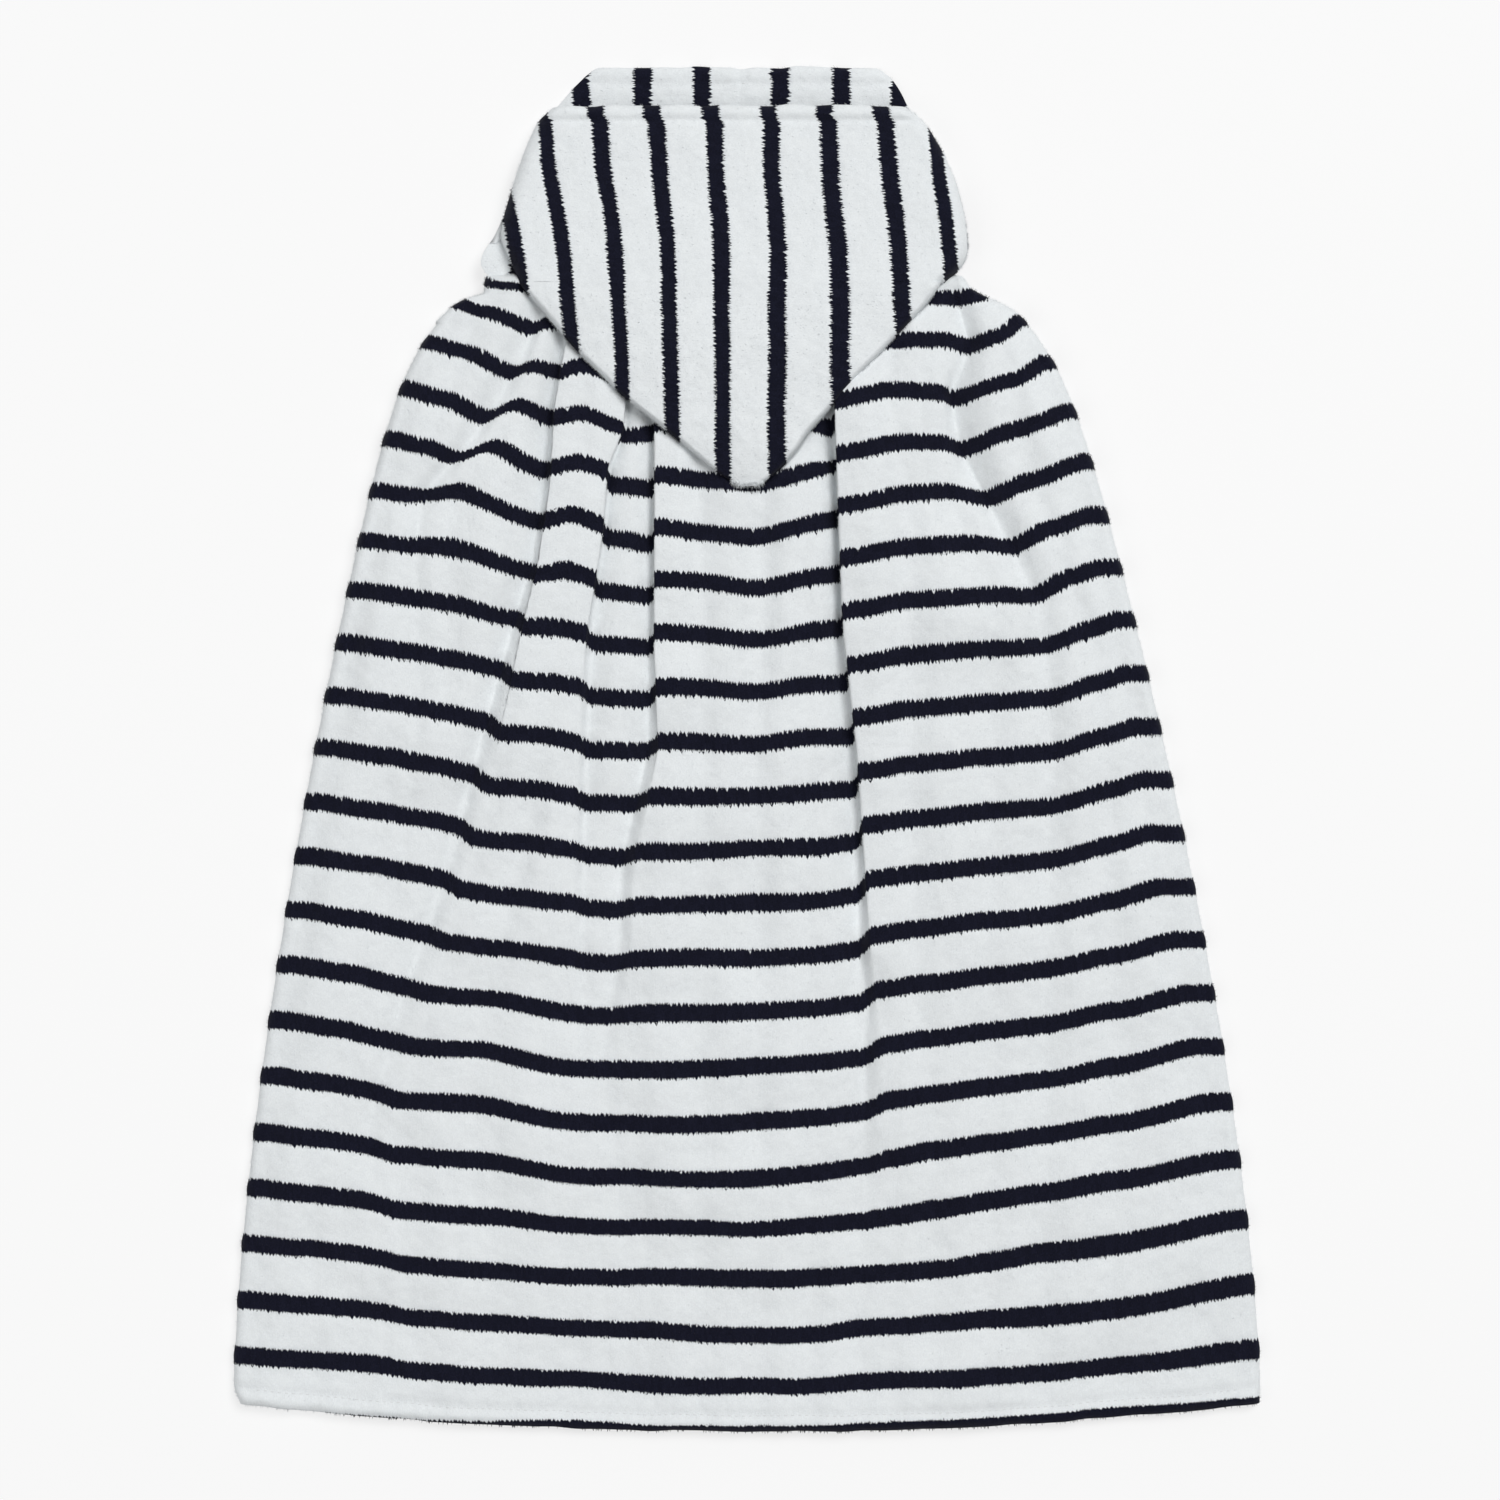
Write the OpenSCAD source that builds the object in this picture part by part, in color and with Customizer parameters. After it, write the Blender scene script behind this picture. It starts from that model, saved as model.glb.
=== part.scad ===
// Hooded baby towel, lying flat on its front with the back and the folded hood upwards.
// X runs across the towel, +Y towards the hood, +Z up. The origin is the middle of the base.
// The body is one striped cloth, gathered into a neck seam and wrapped round, so its two
// side folds carry the front panels underneath. The hood is a second cloth: a far layer on
// the table, a brim above it with the face opening between them, and a point that lies
// down over the back.

/* [Body] */
// Width across the bottom hem
body_width = 551; // [480:1:640]
// Length from the lowest point of the hem to the neck seam
body_length = 614; // [540:1:700]
// How much lower the hem hangs in its middle than at its corners
hem_sag = 15; // [4:1:30]
// How much the left side leans in from hem to shoulder
left_taper = 101; // [90:1:110]
// How much the right side leans in from hem to shoulder
right_taper = 118; // [100:1:125]
// How much more each shoulder pulls in at the neck
shoulder_drop = 33; // [24:1:38]

/* [Cloth] */
// Thickness of one layer of plush cloth
cloth = 5; // [4:0.5:6]
// Thickness of a folded and sewn hem
hem_thickness = 7.5; // [6.5:0.5:9]
// Width of the sewn hems
hem_depth = 10; // [8:1:14]
// Extra height of the gathered front panels at the neck
front_gather = 3; // [1:0.5:5]
// Extra height of the gathered back panel at the neck
back_gather = 5; // [2:0.5:7]
// How far the pleat ridges of the back stand up
pleat_rise = 5; // [2:0.5:6]

/* [Hood] */
// Width of the hood along the neck
hood_width = 257; // [230:1:280]
// Width of the far layer at its top edge
hood_top_width = 159; // [140:1:180]
// Reach of the far layer above the neck seam
far_reach = 118; // [100:1:130]
// Reach of the brim above the neck seam
brim_reach = 95; // [80:1:105]
// Reach of the hood's point over the back
point_reach = 108; // [90:1:125]
// Height of the brim's underside at the face opening
mouth_height = 13; // [11:0.5:18]

/* [Hidden] */

white = [0.90, 0.92, 0.92];
navy = [0.10, 0.11, 0.17];

gap = 0.3;                                   // clearance between two layers of cloth
total_length = body_length + far_reach;
hem_low = -total_length / 2;                 // lowest point of the hem
neck_y = hem_low + body_length;              // the neck seam, and the hood's fold line
corner_y = hem_low + hem_sag;                // the hem's two corners
side_steps = 22;                             // points along each side
hem_steps = 16;                              // points along the hem

back_low = cloth + gap;                      // underside of the back panel at the hem
back_top = back_low + cloth;
gather_low_y = -100;                         // where the gathering starts to thicken the cloth
gather_full_y = 150;                         // where it is at its full height
back_neck_low = back_low + front_gather;
back_neck_top = back_top + front_gather + back_gather;
under_cloth = 4.5;                           // the hood point's under layer is pressed a little flat
under_low = back_neck_top + gap;             // underside of that layer
under_top = under_low + under_cloth;
point_low = under_top + gap;                 // the hood point's upper layer

fold_inset = 8;                              // bare strip beside each fold line
centre_gap = 1;                              // half the gap between the two front panels
front_short = 3;                             // the front hem stays this far behind the back hem
front_top_inset = 3;                         // the front panels stop this far under the neck seam
seam_y = neck_y - 7;                         // start of the neck seam's bundle
seam_depth = 10;
far_y = seam_y + seam_depth + gap;           // start of the far layer
thread = 0.8;                                // width of a line of stitching
seam_width = 3;                              // width of the two short butt seams of the hood
side_wall = 7;                               // thickness of the folds at the hood's two sides
far_top = neck_y + far_reach;
brim_y = neck_y + brim_reach;
seam_top = point_low - 0.8;                  // the neck seam's bundle stays under the hood
under_inset = 1;                             // the under layer stops this far short of that bundle
tip_inset = 10;                              // the hood's back seam stops this far short of its point

far_hem_height = cloth + 1;                  // the far layer's folded hem
chin_x = -3;                                 // where the far layer's two ends meet
hood_centre = -9;                            // the hood lies a little to the left
point_centre = -1;

// Half width of the body at height y, for the taper of one side
function share(y) = max(0, (y - corner_y) / (neck_y - corner_y));
function half_width(y, taper) =
    body_width / 2 - taper * pow(share(y), 1.55) - shoulder_drop * pow(share(y), 24);

// Height of the hem's edge at x
function hem_y(x) = hem_low + hem_sag * pow(2 * x / body_width, 2);

// Half width of the hood above the neck, and of its point below the neck
function hood_half(y) =
    hood_width / 2 - (hood_width - hood_top_width) / 2 * pow((y - neck_y) / far_reach, 2);
function point_half(y) = 0.95 * hood_width / 2 * pow(1 - (neck_y - y) / point_reach, 0.85);
function point_mid(y) = hood_centre + (point_centre - hood_centre) * (neck_y - y) / point_reach;

// The body's outline
module body_plan(top = neck_y) {
    side = [for (i = [0:side_steps]) corner_y + (top - corner_y) * i / side_steps];
    hem = [for (i = [0:hem_steps]) -body_width / 2 + body_width * i / hem_steps];
    polygon(concat(
        [for (x = hem) [x, hem_y(x)]],
        [for (y = side) [half_width(y, right_taper), y]],
        [for (i = [side_steps:-1:0]) [-half_width(side[i], left_taper), side[i]]]
    ));
}

// Everything above a line that follows the hem at the given height
module above_hem(height) {
    hem = [for (i = [0:hem_steps]) -body_width / 2 + body_width * i / hem_steps];
    polygon(concat(
        [for (x = hem) [x, hem_y(x) + height]],
        [[body_width / 2, neck_y], [-body_width / 2, neck_y]]
    ));
}

// A solid with the 2D child as its outline, cut to a side profile of [y, z] points
module profiled(points) {
    intersection() {
        linear_extrude(60) children();
        rotate([90, 0, 90]) linear_extrude(2 * body_width, center = true) polygon(points);
    }
}

// A layer of the body cloth that rises towards the neck where it is gathered
module layered(low, low_neck, top, top_neck) {
    profiled([
        [-total_length, low], [gather_low_y, low], [gather_full_y, low_neck], [total_length, low_neck],
        [total_length, top_neck], [gather_full_y, top_neck], [gather_low_y, top], [-total_length, top]
    ]) children();
}

// One pleat of the gathered back: a long roll that sinks into the cloth towards the hem
module pleat(from, to, radius = 14, sunk = 1) {
    start = [from[0], from[1], back_neck_top + pleat_rise - radius];
    end = [to[0], to[1], back_top - sunk - radius];
    run = end - start;
    length = norm(run);
    translate(start) {
        sphere(r = radius, $fn = 48);
        rotate([0, acos(run[2] / length), atan2(run[1], run[0])])
            cylinder(r = radius, h = length, $fn = 48);
    }
}

// The upper and lower end of each pleat
pleats = [[[66, 178], [88, -150]],
          [[-44, 148], [-62, -80]],
          [[-89, 188], [-140, -60]],
          [[-122, 194], [-200, 0]],
          [[126, 194], [186, 10]]];

module back_panel() {
    color(white) {
        layered(back_low, back_neck_low, back_top, back_neck_top)
            intersection() {
                body_plan(seam_y);
                above_hem(hem_depth + thread);
            }
        intersection() {
            translate([0, 0, back_neck_low]) linear_extrude(60) body_plan(seam_y);
            union() for (p = pleats) pleat(p[0], p[1]);
        }
    }
}

module hem_band(low, width) {
    difference() {
        intersection() {
            body_plan();
            above_hem(low);
        }
        above_hem(low + width);
    }
}

module back_hem() {
    color(white) translate([0, 0, back_low]) linear_extrude(hem_thickness) hem_band(0, hem_depth);
}

module back_hem_stitching() {
    color(navy) translate([0, 0, back_low]) linear_extrude(cloth) hem_band(hem_depth, thread);
}

// The two fold lines that the front panels turn about
left_fold = [[-280.5, corner_y], [-207, 138]];
right_fold = [[283, corner_y], [198.5, 125]];

// A long square on one side of x = start; side is -1 for left and 1 for right
module beyond(start, side) {
    translate([side < 0 ? -start - body_width : start, -total_length])
        square([body_width, 2 * total_length]);
}

// Outline of one front panel, from beside its fold line to the middle
module front_plan(side) {
    fold = side < 0 ? left_fold : right_fold;
    run = fold[1] - fold[0];
    intersection() {
        body_plan(seam_y - front_top_inset);
        above_hem(front_short);
        translate(fold[0]) rotate(-atan2(run[0], run[1])) beyond(fold_inset, -side);
        beyond(centre_gap, side);
    }
}

// The part of a front panel that lies further than depth from its bottom and middle edges
module front_inner(side, depth) {
    intersection() {
        front_plan(side);
        above_hem(front_short + depth);
        beyond(centre_gap + depth, side);
    }
}

module front_panel(side) {
    color(white) layered(0, 0, cloth, cloth + front_gather) front_inner(side, hem_depth + thread);
}

module front_bottom_hem(side) {
    color(white) linear_extrude(cloth) difference() {
        front_plan(side);
        above_hem(front_short + hem_depth);
    }
}

module front_edge_hem(side) {
    color(white) linear_extrude(cloth) intersection() {
        difference() {
            front_plan(side);
            beyond(centre_gap + hem_depth, side);
        }
        above_hem(front_short + hem_depth);
    }
}

module front_stitching(side) {
    color(navy) linear_extrude(cloth) difference() {
        front_inner(side, hem_depth);
        front_inner(side, hem_depth + thread);
    }
}

module front_left_panel() { front_panel(-1); }
module front_left_bottom_hem() { front_bottom_hem(-1); }
module front_left_edge_hem() { front_edge_hem(-1); }
module front_left_stitching() { front_stitching(-1); }
module front_right_panel() { front_panel(1); }
module front_right_bottom_hem() { front_bottom_hem(1); }
module front_right_edge_hem() { front_edge_hem(1); }
module front_right_stitching() { front_stitching(1); }

// The bundles of gathered cloth that are sewn to the hood, under its fold line
module neck_bundle(low, high) {
    translate([hood_centre - hood_width / 2 + side_wall, seam_y, low])
        cube([hood_width - 2 * side_wall, seam_depth, high - low]);
}

module neck_seam_front() {
    color(navy) neck_bundle(0, back_neck_low - gap);
}

module neck_seam_back() {
    color(navy) neck_bundle(back_neck_low, seam_top);
}

// Outline of the hood above the neck, between two heights and inset from its sides
module hood_plan(low, high, inset = 0) {
    side = [for (i = [0:side_steps]) low + (high - low) * i / side_steps];
    polygon(concat(
        [for (y = side) [hood_centre + hood_half(y) - inset, y]],
        [for (i = [side_steps:-1:0]) [hood_centre - hood_half(side[i]) + inset, side[i]]]
    ));
}

// One half of a plan, beside a butt seam along x = middle
module half(middle, side) {
    intersection() {
        children();
        translate([middle, 0]) beyond(seam_width / 2, side);
    }
}

module hood_far(side) {
    color(white) linear_extrude(cloth)
        half(chin_x, side) hood_plan(far_y, far_top - hem_depth - thread);
}

module hood_far_left() { hood_far(-1); }
module hood_far_right() { hood_far(1); }

module hood_chin_seam() {
    color(navy) translate([chin_x - seam_width / 2, far_y, 0])
        cube([seam_width, far_top - hem_depth - thread - far_y, cloth]);
}

module hood_far_hem() {
    color(white) linear_extrude(far_hem_height) hood_plan(far_top - hem_depth, far_top);
}

module hood_far_stitching() {
    color(navy) linear_extrude(cloth) hood_plan(far_top - hem_depth - thread, far_top - hem_depth);
}

// Height of the brim's underside, which slopes from the neck to the face opening
function brim_low(y) = point_low + (mouth_height - point_low) * (y - neck_y) / brim_reach;

// The fold at one side of the hood, where the far layer turns up into the brim
module hood_side(side) {
    color(white) profiled([
        [seam_y, cloth], [brim_y, cloth], [brim_y, brim_low(brim_y) - gap], [seam_y, brim_low(seam_y) - gap]
    ]) difference() {
        half(hood_centre, side) hood_plan(far_y, brim_y - hem_depth);
        hood_plan(far_y - 1, brim_y, side_wall);
    }
}

module hood_side_left() { hood_side(-1); }
module hood_side_right() { hood_side(1); }

// A sloping slab of the brim with the 2D child as its outline
module brim_slab(thickness) {
    profiled([
        [seam_y, brim_low(seam_y)], [far_top, brim_low(far_top)],
        [far_top, brim_low(far_top) + thickness], [seam_y, brim_low(seam_y) + thickness]
    ]) children();
}

module hood_brim() {
    color(white) brim_slab(cloth) hood_plan(neck_y + gap, brim_y - hem_depth - thread);
}

module hood_brim_hem() {
    color(white) brim_slab(hem_thickness) hood_plan(brim_y - hem_depth, brim_y);
}

module hood_brim_stitching() {
    color(navy) brim_slab(cloth) hood_plan(brim_y - hem_depth - thread, brim_y - hem_depth);
}

// Outline of the hood's point, from a height below the neck to its tip
module point_plan(top) {
    low = neck_y - point_reach;
    side = [for (i = [0:side_steps]) low + (top - low) * i / side_steps];
    polygon(concat(
        [for (y = side) [point_mid(y) + point_half(y), y]],
        [for (i = [side_steps:-1:1]) [point_mid(side[i]) - point_half(side[i]), side[i]]]
    ));
}

module hood_point_top() {
    color(white) translate([0, 0, point_low]) linear_extrude(cloth) point_plan(neck_y - gap);
}

module hood_under(side) {
    color(white) translate([0, 0, under_low]) linear_extrude(under_top - under_low)
        half(point_centre, side) point_plan(seam_y - under_inset);
}

module hood_under_left() { hood_under(-1); }
module hood_under_right() { hood_under(1); }

// The seam down the back of the hood, from the nape to the point
module hood_back_seam() {
    length = point_reach - (neck_y - seam_y) - tip_inset;
    color(navy) translate([point_centre - seam_width / 2, seam_y - under_inset - length, under_low])
        cube([seam_width, length, under_top - under_low]);
}

back_panel();
back_hem();
back_hem_stitching();
front_left_panel();
front_left_bottom_hem();
front_left_edge_hem();
front_left_stitching();
front_right_panel();
front_right_bottom_hem();
front_right_edge_hem();
front_right_stitching();
neck_seam_front();
neck_seam_back();
hood_far_left();
hood_far_right();
hood_chin_seam();
hood_far_hem();
hood_far_stitching();
hood_side_left();
hood_side_right();
hood_brim();
hood_brim_hem();
hood_brim_stitching();
hood_point_top();
hood_under_left();
hood_under_right();
hood_back_seam();
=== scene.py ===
"""Looks of the hooded baby towel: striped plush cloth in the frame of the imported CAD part.

Lengths inside the shape functions are millimetres; meshes are made in metres.
"""
import math

import bpy
import numpy as np
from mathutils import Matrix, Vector


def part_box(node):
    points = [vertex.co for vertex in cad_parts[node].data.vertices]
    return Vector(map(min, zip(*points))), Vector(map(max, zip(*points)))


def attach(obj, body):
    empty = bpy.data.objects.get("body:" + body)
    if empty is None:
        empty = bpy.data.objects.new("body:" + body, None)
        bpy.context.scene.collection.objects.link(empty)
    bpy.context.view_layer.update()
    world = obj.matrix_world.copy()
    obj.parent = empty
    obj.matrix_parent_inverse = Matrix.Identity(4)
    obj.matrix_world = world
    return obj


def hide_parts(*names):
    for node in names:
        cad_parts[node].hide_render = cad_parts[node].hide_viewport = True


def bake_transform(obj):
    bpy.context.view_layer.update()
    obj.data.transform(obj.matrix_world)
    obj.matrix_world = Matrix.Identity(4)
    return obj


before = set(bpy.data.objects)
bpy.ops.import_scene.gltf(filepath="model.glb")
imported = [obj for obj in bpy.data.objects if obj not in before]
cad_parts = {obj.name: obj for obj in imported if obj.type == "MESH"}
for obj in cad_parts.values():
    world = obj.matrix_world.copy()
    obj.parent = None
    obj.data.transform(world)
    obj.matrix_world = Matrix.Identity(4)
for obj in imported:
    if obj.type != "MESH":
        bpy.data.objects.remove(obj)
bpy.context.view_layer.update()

MM = 0.001

# ---------------------------------------------------------------- sizes: the outer ones come from the frame

def node_box(node):
    """Lowest and highest corner of a CAD node, in mm."""
    return [np.array(place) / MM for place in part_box(node)]


BACK_LOW, BACK_HIGH = node_box("back_hem")
POINT_LOW, POINT_HIGH = node_box("hood_point_top")
UNDER_Z = node_box("hood_under_left")[0][2]     # underside of the point's under layer
POINT_Z = POINT_HIGH[2]                         # top of the point
BRIM_Z = node_box("hood_brim")[1][2]            # top of the brim

BODY_HALF = BACK_HIGH[0]                 # half the width of the hem
HEM_LOW = BACK_LOW[1]                    # lowest point of the hem
HEM_SAG = 15.0                           # how much lower the hem is at its middle than at its corners
HEM_DEPTH = 9.0                          # from an edge to the stitching of its hem
CORNER_Y = HEM_LOW + HEM_SAG
NECK_Y = POINT_HIGH[1] + 0.3             # the hood's fold line over the neck seam
MOUTH_Y = node_box("hood_brim_hem")[1][1]       # edge of the face opening, on the upper layer
FAR_Y = node_box("hood_far_hem")[1][1]          # edge of the face opening, on the far layer
TIP_Y = POINT_LOW[1]

CLOTH = 4.8                              # thickness of one layer
LEFT_TAPER = 101.0                       # how far each side draws in from the hem to the neck
RIGHT_TAPER = 118.0
SHOULDER = 33.0                          # how far the shoulders round off beyond that
SHOULDER_Y = 228                         # where the shoulders' own outline begins
CHIN_SEAM_X = -2.7                       # the seam in the middle of the far layer
BACK_SEAM_X = -1.0                       # the seam in the middle of the point's under layer
SIDE_RADIUS = 9.0                        # of the rolled sides of the hood
OPENING_RADIUS = 3.0                     # of the rolled edges of the face opening
FOLD_RADIUS = 5.5                        # of the body's rolled edges
ARC = 9                                  # points round each rolled edge

STRIPE_PITCH = 28.4                      # along the body
STRIPE_WIDTH = 9.2
HOOD_PITCH = 30.5
HOOD_STRIPE_WIDTH = 9.0
FIRST_STRIPE_Y = -341.2                  # the lowest whole stripe, at the middle of the body


# ---------------------------------------------------------------- small helpers

def smooth(low, high, x):
    """0 below low, 1 above high, and an S curve between them."""
    t = np.clip((np.asarray(x, float) - low) / (high - low), 0.0, 1.0)
    return t * t * (3 - 2 * t)


def bell(d, width):
    """1 where d is 0, falling off smoothly to both sides over about width."""
    return np.exp(-(d / width) ** 2)


def lumps(x, y, size, seed):
    """Soft random relief from -1 to 1 with the given size of lump, the same on every run."""
    grid = np.random.default_rng(seed).uniform(-1, 1, (257, 257))
    u, v = np.asarray(x) / size, np.asarray(y) / size
    i, j = np.floor(u).astype(int), np.floor(v).astype(int)
    fu, fv = u - i, v - j
    fu, fv = fu * fu * (3 - 2 * fu), fv * fv * (3 - 2 * fv)
    a = grid[i % 257, j % 257] * (1 - fu) + grid[(i + 1) % 257, j % 257] * fu
    b = grid[i % 257, (j + 1) % 257] * (1 - fu) + grid[(i + 1) % 257, (j + 1) % 257] * fu
    return a * (1 - fv) + b * fv


def pile_relief(x, y, seed):
    """The uneven lie of the plush: broad swells, tufts and clumps of pile."""
    return (0.55 * lumps(x, y, 17, seed) + 0.32 * lumps(x, y, 7, seed + 1)
            + 0.22 * lumps(x, y, 3.1, seed + 2))


def collection_link(obj):
    """Puts an object in the scene."""
    bpy.context.scene.collection.objects.link(obj)
    return obj


def mesh_object(name, points, faces, attributes, material):
    """A smooth mesh from points in millimetres, with float attributes for the shader.

    faces is a list of arrays, each for faces with one number of corners.
    """
    corners = np.concatenate([group.ravel() for group in faces]).astype(np.int32)
    sizes = np.concatenate([np.full(len(group), group.shape[1], np.int32) for group in faces])
    mesh = bpy.data.meshes.new(name)
    mesh.vertices.add(len(points))
    mesh.vertices.foreach_set("co", (np.asarray(points) * MM).astype(np.float32).ravel())
    mesh.loops.add(len(corners))
    mesh.loops.foreach_set("vertex_index", corners)
    mesh.polygons.add(len(sizes))
    mesh.polygons.foreach_set("loop_start", (np.cumsum(sizes) - sizes).astype(np.int32))
    mesh.polygons.foreach_set("use_smooth", np.ones(len(sizes), bool))
    mesh.update(calc_edges=True)
    for key, values in attributes.items():
        layer = mesh.attributes.new(key, "FLOAT", "POINT")
        layer.data.foreach_set("value", np.asarray(values, np.float32).ravel())
    mesh.validate()
    mesh.materials.append(material)
    return collection_link(bpy.data.objects.new(name, mesh))


def grid_quads(rows, columns, wrap=False):
    """Quads of a grid of points, closed round its columns if wrap."""
    r, c = np.meshgrid(np.arange(rows - 1), np.arange(columns if wrap else columns - 1), indexing="ij")
    nxt = (c + 1) % columns
    return np.stack([r * columns + c, r * columns + nxt,
                     (r + 1) * columns + nxt, (r + 1) * columns + c], -1).reshape(-1, 4)


def sharpen_ring(obj, count):
    """Marks the edges among a mesh's first points as sharp, so that its cut end shades on its own."""
    mesh = obj.data
    ends = np.empty(len(mesh.edges) * 2, np.int32)
    mesh.edges.foreach_get("vertices", ends)
    sharp = (ends.reshape(-1, 2) < count).all(axis=1)
    layer = mesh.attributes.new("sharp_edge", "BOOLEAN", "EDGE")
    layer.data.foreach_set("value", sharp)


def shell(name, outer, inner, attributes, material):
    """A sheet with thickness: two grids of points with a rim round them.

    outer and inner are (rows, columns, 3); each attribute is (rows, columns).
    """
    rows, columns = outer.shape[:2]
    n = rows * columns
    face = grid_quads(rows, columns)
    ring = np.concatenate([
        np.arange(columns), np.arange(1, rows) * columns + columns - 1,
        (rows - 1) * columns + np.arange(columns - 2, -1, -1), np.arange(rows - 2, 0, -1) * columns])
    after = np.roll(ring, -1)
    rim = np.stack([after, ring, ring + n, after + n], -1)
    quads = np.concatenate([face, face[:, ::-1] + n, rim])
    points = np.concatenate([outer.reshape(-1, 3), inner.reshape(-1, 3)])
    doubled = {k: np.concatenate([v.ravel(), v.ravel()]) for k, v in attributes.items()}
    return mesh_object(name, points, [quads], doubled, material)


def drawn_in(x, y, z, centre, openness):
    """A grid of points whose heights close up towards centre as openness falls from 1 to 0."""
    return np.stack([x, y, centre + (z - centre) * openness], -1)


# ---------------------------------------------------------------- the body's outline and stripes

def share(y):
    """How far a height lies from the hem's corners (0) to the neck (1)."""
    return np.clip((y - CORNER_Y) / (NECK_Y - CORNER_Y), 0, None)


def half_width(y, taper):
    """From the middle of the body to one side, without the shoulder's outline."""
    return BODY_HALF - taper * share(y) ** 1.55 - SHOULDER * share(y) ** 24


def corner(y, inset):
    """How far the side of the body pulls in at its rounded lower corner."""
    return inset * (1 - smooth(-3, 11, y - CORNER_Y))


def left_x(y):
    """Left side of the body."""
    shoulder = np.interp(y, (SHOULDER_Y, 236, 240.5, 243, 256), (-167, -158.5, -151, -141, -139))
    return np.where(y < SHOULDER_Y, -half_width(y, LEFT_TAPER), shoulder) + corner(y, 4.0)


def right_x(y):
    """Right side of the body."""
    shoulder = np.interp(y, (SHOULDER_Y, 235, 239.5, 243, 247, 256), (149.5, 142.5, 133, 124.5, 119, 113))
    return np.where(y < SHOULDER_Y, half_width(y, RIGHT_TAPER), shoulder) - corner(y, 1.5)


def hem_y(x):
    """Height of the hem's edge, a little uneven except near its corners."""
    uneven = 0.6 * lumps(x, 0, 13, 91) * smooth(BODY_HALF, BODY_HALF - 20, np.abs(x))
    return HEM_LOW + HEM_SAG * (x / BODY_HALF) ** 2 + uneven


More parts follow.
